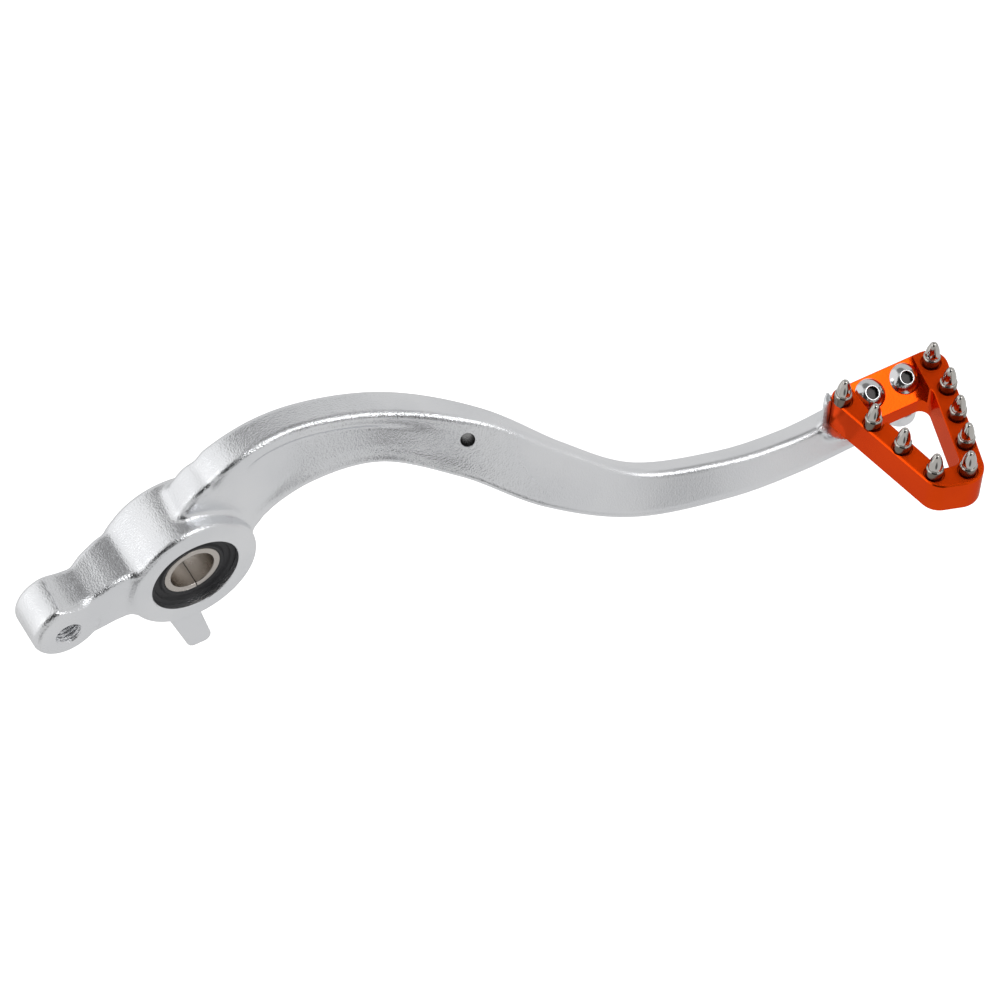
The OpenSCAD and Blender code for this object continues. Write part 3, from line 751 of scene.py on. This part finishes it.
class Finish(Nodes):
    """A procedural material on Object coordinates."""

    def __init__(self, name):
        self.material = bpy.data.materials.new(name)
        self.material.use_nodes = True
        super().__init__(self.material.node_tree)
        self.place = self.add("ShaderNodeTexCoord", output="Object")

    def noise(self, scale, detail, rough=0.5):
        """Noise over the piece; scale is in features per metre."""
        return self.add("ShaderNodeTexNoise", None, {"Vector": self.place, "Scale": scale, "Detail": detail,
                                                     "Roughness": rough}, "Fac")

    def coordinate(self, axis):
        """One Object coordinate, in metres."""
        return self.add("ShaderNodeSeparateXYZ", None, {"Vector": self.place}, axis)

    def vector(self, operation, a, b=None, output=0):
        """One Vector Math node on one or two vectors."""
        sockets = {0: a} if b is None else {0: a, 1: b}
        return self.add("ShaderNodeVectorMath", {"operation": operation}, sockets, output)

    def mix(self, factor, a, b):
        """Mixes two colours."""
        return self.add("ShaderNodeMix", {"data_type": "RGBA"}, {0: factor, 6: a, 7: b}, 2)

    def bump(self, height, distance):
        """A normal from a height map; distance is in metres."""
        return self.add("ShaderNodeBump", None, {"Height": height, "Distance": distance, "Strength": 1.0})

    def surface(self, **sockets):
        """The closing shader; a name's underscores stand for spaces."""
        named = {key.replace("_", " "): value for key, value in sockets.items()}
        self.close("ShaderNodeOutputMaterial", self.add("ShaderNodeBsdfPrincipled", None, named, "BSDF"))
        return self.material


def blasted_aluminium():
    """Satin forged aluminium: fine blasted grain, faint forging waviness and a few pits, with painted shade in the
    drilled hole: its wall is coloured dark grey. Past the hole the grain is weaker and the metal more satin."""
    m = Finish("blasted aluminium")
    grain = m.noise(1900, 2.0, 0.6)
    wave = m.noise(160, 2.0)
    patch = m.noise(45, 2.0)
    pits = 1 - m.noise(520, 1.0).smooth(0.20, 0.27)
    smoother = m.coordinate("X").smooth(SATIN_X0 * MM, SATIN_X1 * MM)
    normal = m.bump((grain + wave * 0.35 - pits * 0.4) * (1 - smoother * 0.45), 0.00014)
    colour = m.mix(patch.smooth(0.3, 0.7), (0.79, 0.80, 0.82, 1), (0.85, 0.857, 0.872, 1))
    off = m.vector("SUBTRACT", m.place, [v * MM for v in TETHER])
    away = m.vector("LENGTH", m.vector("CROSS_PRODUCT", off, TETHER_OUT), output="Value")
    outside = away.smooth((TETHER_R + 0.03) * MM, (TETHER_R + 0.13) * MM)
    # painted shade: the tether hole's wall is coloured dark grey for the shade inside the hole
    colour = m.mix(outside, (0.22, 0.22, 0.22, 1), colour)
    return m.surface(Base_Color=colour, Metallic=1.0, Roughness=0.19 + patch * 0.08 + smoother * 0.08,
                     Normal=normal)


def anodised():
    """Orange anodised aluminium with fine machining; the top is duller than the sides."""
    m = Finish("orange anodising")
    grain = m.noise(1800, 2.0)
    patch = m.noise(60, 2.0)
    colour = m.mix(patch.smooth(0.3, 0.7), (0.80, 0.060, 0.0006, 1), (0.86, 0.068, 0.0006, 1))
    top = m.coordinate("Z").smooth((PLATE_TOP - 0.3) * MM, (PLATE_TOP - 0.1) * MM)
    return m.surface(Base_Color=colour, Metallic=0.86, Roughness=0.14 + grain * 0.06 + top * 0.40,
                     Specular_Tint=(0.72, 0.44, 0.38, 1), Normal=m.bump(grain, 0.000012))


def steel(name, colour, roughness, scratch=0.00001):
    """Turned or polished steel with a slight uneven polish."""
    m = Finish(name)
    grain = m.noise(1400, 2.0)
    patch = m.noise(230, 2.0)
    base = m.mix(patch, tuple(0.88 * c for c in colour) + (1,), tuple(colour) + (1,))
    return m.surface(Base_Color=base, Metallic=1.0, Roughness=roughness + patch * 0.08,
                     Normal=m.bump(grain, scratch))


def pin_steel():
    """Polished points on dull bodies, the bodies coloured dark brown as a painted dark reflection; the change is at
    the groove.
    """
    m = Finish("pin steel")
    grain = m.noise(1400, 2.0)
    groove = PLATE_TOP + PIN_BODY
    point = m.coordinate("Z").smooth((groove - 0.5) * MM, groove * MM)
    # painted reflection: below the groove the pins are coloured dark brown for the dark reflection the bodies show
    colour = m.mix(point, (0.20, 0.17, 0.14, 1), (0.56, 0.54, 0.51, 1))
    return m.surface(Base_Color=colour, Metallic=1.0, Roughness=0.22 - point * 0.15,
                     Normal=m.bump(grain, 0.00001))


def rubber():
    """Matt black seal rubber."""
    m = Finish("seal rubber")
    grain = m.noise(900, 2.0)
    return m.surface(Base_Color=m.mix(grain, (0.012, 0.012, 0.014, 1), (0.03, 0.03, 0.033, 1)), Metallic=0.0,
                     Roughness=0.5 + grain * 0.12, Normal=m.bump(grain, 0.00003))


ALUMINIUM, ORANGE, RUBBER = blasted_aluminium(), anodised(), rubber()
POLISHED = pin_steel()
SCREW = steel("screw steel", (0.72, 0.72, 0.73), 0.10)
# painted shade: near-black colour for the inside of the screws' hex sockets, standing in for their shade
SOCKET_SHADE = steel("socket painted shade", (0.055, 0.052, 0.052), 0.28)
SLEEVE = steel("sleeve steel", (0.58, 0.54, 0.50), 0.24, 0.00003)
BEARING = steel("bearing steel", (0.60, 0.61, 0.63), 0.18)
CAGE = steel("cage steel", (0.36, 0.36, 0.38), 0.35)

coat(forging(), ALUMINIUM)
coat(step_plate(), ORANGE)
for k in range(len(PINS)):
    coat(cleat_pin(k), POLISHED)
for k, node in enumerate(("step_screw_rear", "step_screw_front")):
    step_screw(k, node, SCREW, SOCKET_SHADE)
coat(seal(-1, "seal_outer"), RUBBER)
coat(seal(1, "seal_inner"), RUBBER)
coat(sleeve(), SLEEVE)
for node, material in (("needle_cup", BEARING), ("needle_rollers", BEARING), ("needle_cage", CAGE)):
    coat(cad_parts[node], material)


# ---------------------------------------------------------------- floor, light and camera
CAM_AZ, CAM_EL, CAM_ROLL = np.radians([-32.9256, 53.8487, 3.7114])
CAM_FOCAL_PX, PICTURE_PX, SENSOR = 4846.57, 1001.0, 36.0
CAM_SHIFT = np.array([-92.549, -14.675, 1400.0])
CAM_FACE_Y = -10.0  # where the fit that gave the shift had the boss's outer face
BACK = np.array([np.sin(CAM_AZ) * np.cos(CAM_EL), -np.cos(CAM_AZ) * np.cos(CAM_EL), np.sin(CAM_EL)])
# What metal reflects: a direction, and the cosines to it where each begins and where it is full
DARK_FRONT = (-0.52, -0.50, 0.69), 0.77, 0.88
LOW_FRONT = (-0.40, -0.80, -0.45), 0.955, 0.985
GREY_CEILING = (0.12, 0.52, 0.85), 0.90, 0.965
LEFT_SCREEN = (-0.78, 0.5, 0.30), 0.655, 0.735
FRONT_LAMP = (0.25, -0.36, 0.90), 0.972, 0.992
LEFT_LAMP = (-0.89, 0.27, 0.37), 0.982, 0.996
WALLS, FILL = 0.69, 0.62  # brightness of the walls to metal, and of the white room to everything else
FLOOR_Z, FLOOR_HALF, FLOOR_CELLS = -0.30, 3.0, 23
AIM = (0.09, -0.03, 0)


def camera():
    """The camera from its azimuth, elevation and roll, and the shift that the fit gave."""
    right = np.array([np.cos(CAM_AZ), np.sin(CAM_AZ), 0.0])
    up = np.cross(BACK, right)
    c, s = np.cos(CAM_ROLL), np.sin(CAM_ROLL)
    axes = np.array([c * right + s * up, -s * right + c * up, BACK])
    centre = (axes.T @ (CAM_SHIFT * [-1, -1, 1]) - [0, BOSS_W / 2 + CAM_FACE_Y, 0]) * MM
    data = bpy.data.cameras.new("camera")
    data.sensor_width, data.lens = SENSOR, CAM_FOCAL_PX / PICTURE_PX * SENSOR
    data.clip_end = 20
    obj = bpy.data.objects.new("camera", data)
    bpy.context.scene.collection.objects.link(obj)
    obj.matrix_world = posed(axes.T, centre)
    bpy.context.scene.camera = obj


def posed(turn, place):
    """A 4 by 4 matrix from a turn and a place in metres."""
    pose = np.eye(4)
    pose[:3, :3], pose[:3, 3] = turn, place
    return Matrix(pose.tolist())


def lamp(name, place, size, power):
    """A soft square lamp aimed at the part, seen by matt surfaces only."""
    data = bpy.data.lights.new(name, "AREA")
    data.size, data.energy = size, power
    obj = bpy.data.objects.new(name, data)
    bpy.context.scene.collection.objects.link(obj)
    obj.matrix_world = posed(looking(np.array(place) - AIM, (0.01, 1, 0.02)), place)
    obj.visible_camera = obj.visible_glossy = False


def studio():
    """The world: white to the camera; to metal grey walls, dark in front and overhead, a white screen at the left and
    two lamps; to the rest an even white room."""
    world = bpy.data.worlds.new("studio")
    bpy.context.scene.world = world
    world.use_nodes = True
    nodes = Nodes(world.node_tree)
    camera_ray = nodes.add("ShaderNodeLightPath", output="Is Camera Ray")
    glossy = nodes.add("ShaderNodeLightPath", output="Is Glossy Ray")
    ray = nodes.add("ShaderNodeTexCoord", output="Generated")

    def lobe(direction, low, high):
        """1 round a direction, 0 far from it."""
        d = tuple(map(float, unit(np.array(direction))))
        near = nodes.add("ShaderNodeVectorMath", {"operation": "DOT_PRODUCT"}, {0: ray, 1: d}, "Value")
        return near.smooth(low, high)

    base = WALLS * (1 - 0.66 * lobe(*GREY_CEILING)) * (1 - 0.95 * lobe(*DARK_FRONT)) * (1 - 0.8 * lobe(*LOW_FRONT))
    seen = base + (1.0 - base) * lobe(*LEFT_SCREEN)
    seen = seen + 4.0 * lobe(*FRONT_LAMP) + 1.2 * lobe(*LEFT_LAMP)
    strength = camera_ray + (1 - camera_ray) * (glossy * seen + (1 - glossy) * FILL)
    nodes.close("ShaderNodeOutputWorld",
                nodes.add("ShaderNodeBackground", None, {"Color": (1, 1, 1, 1), "Strength": strength}))


def paper_floor():
    """The floor, far below: white to the camera, matt to light, not mirrored by metal."""
    edge = np.linspace(-FLOOR_HALF, FLOOR_HALF, FLOOR_CELLS + 1)
    x, y = np.meshgrid(edge, edge, indexing="ij")
    points = np.stack([x, y, np.full_like(x, FLOOR_Z)], -1).reshape(-1, 3) / MM
    faces = grid_faces(len(edge), len(edge), False, False)[:, ::-1]
    floor = new_object("floor", points, faces, None)
    m = Finish("floor paper")
    camera_ray = m.add("ShaderNodeLightPath", output="Is Camera Ray")
    paper = m.add("ShaderNodeBsdfDiffuse", None, {"Color": (0.86, 0.86, 0.86, 1)})
    glow = m.add("ShaderNodeEmission", None, {"Color": (1, 1, 1, 1), "Strength": FILL})
    both = m.add("ShaderNodeAddShader", None, {0: paper, 1: glow})
    m.close("ShaderNodeOutputMaterial", m.add("ShaderNodeMixShader", None, {0: camera_ray, 1: paper, 2: both}))
    coat(floor, m.material)
    floor.visible_glossy = False


camera()
studio()
paper_floor()
lamp("overhead", (0.15, 0.5, 1.3), 0.9, 4)
lamp("left", (-1.1, 0.3, 0.9), 0.7, 3)
bpy.context.scene.view_settings.view_transform = "Standard"
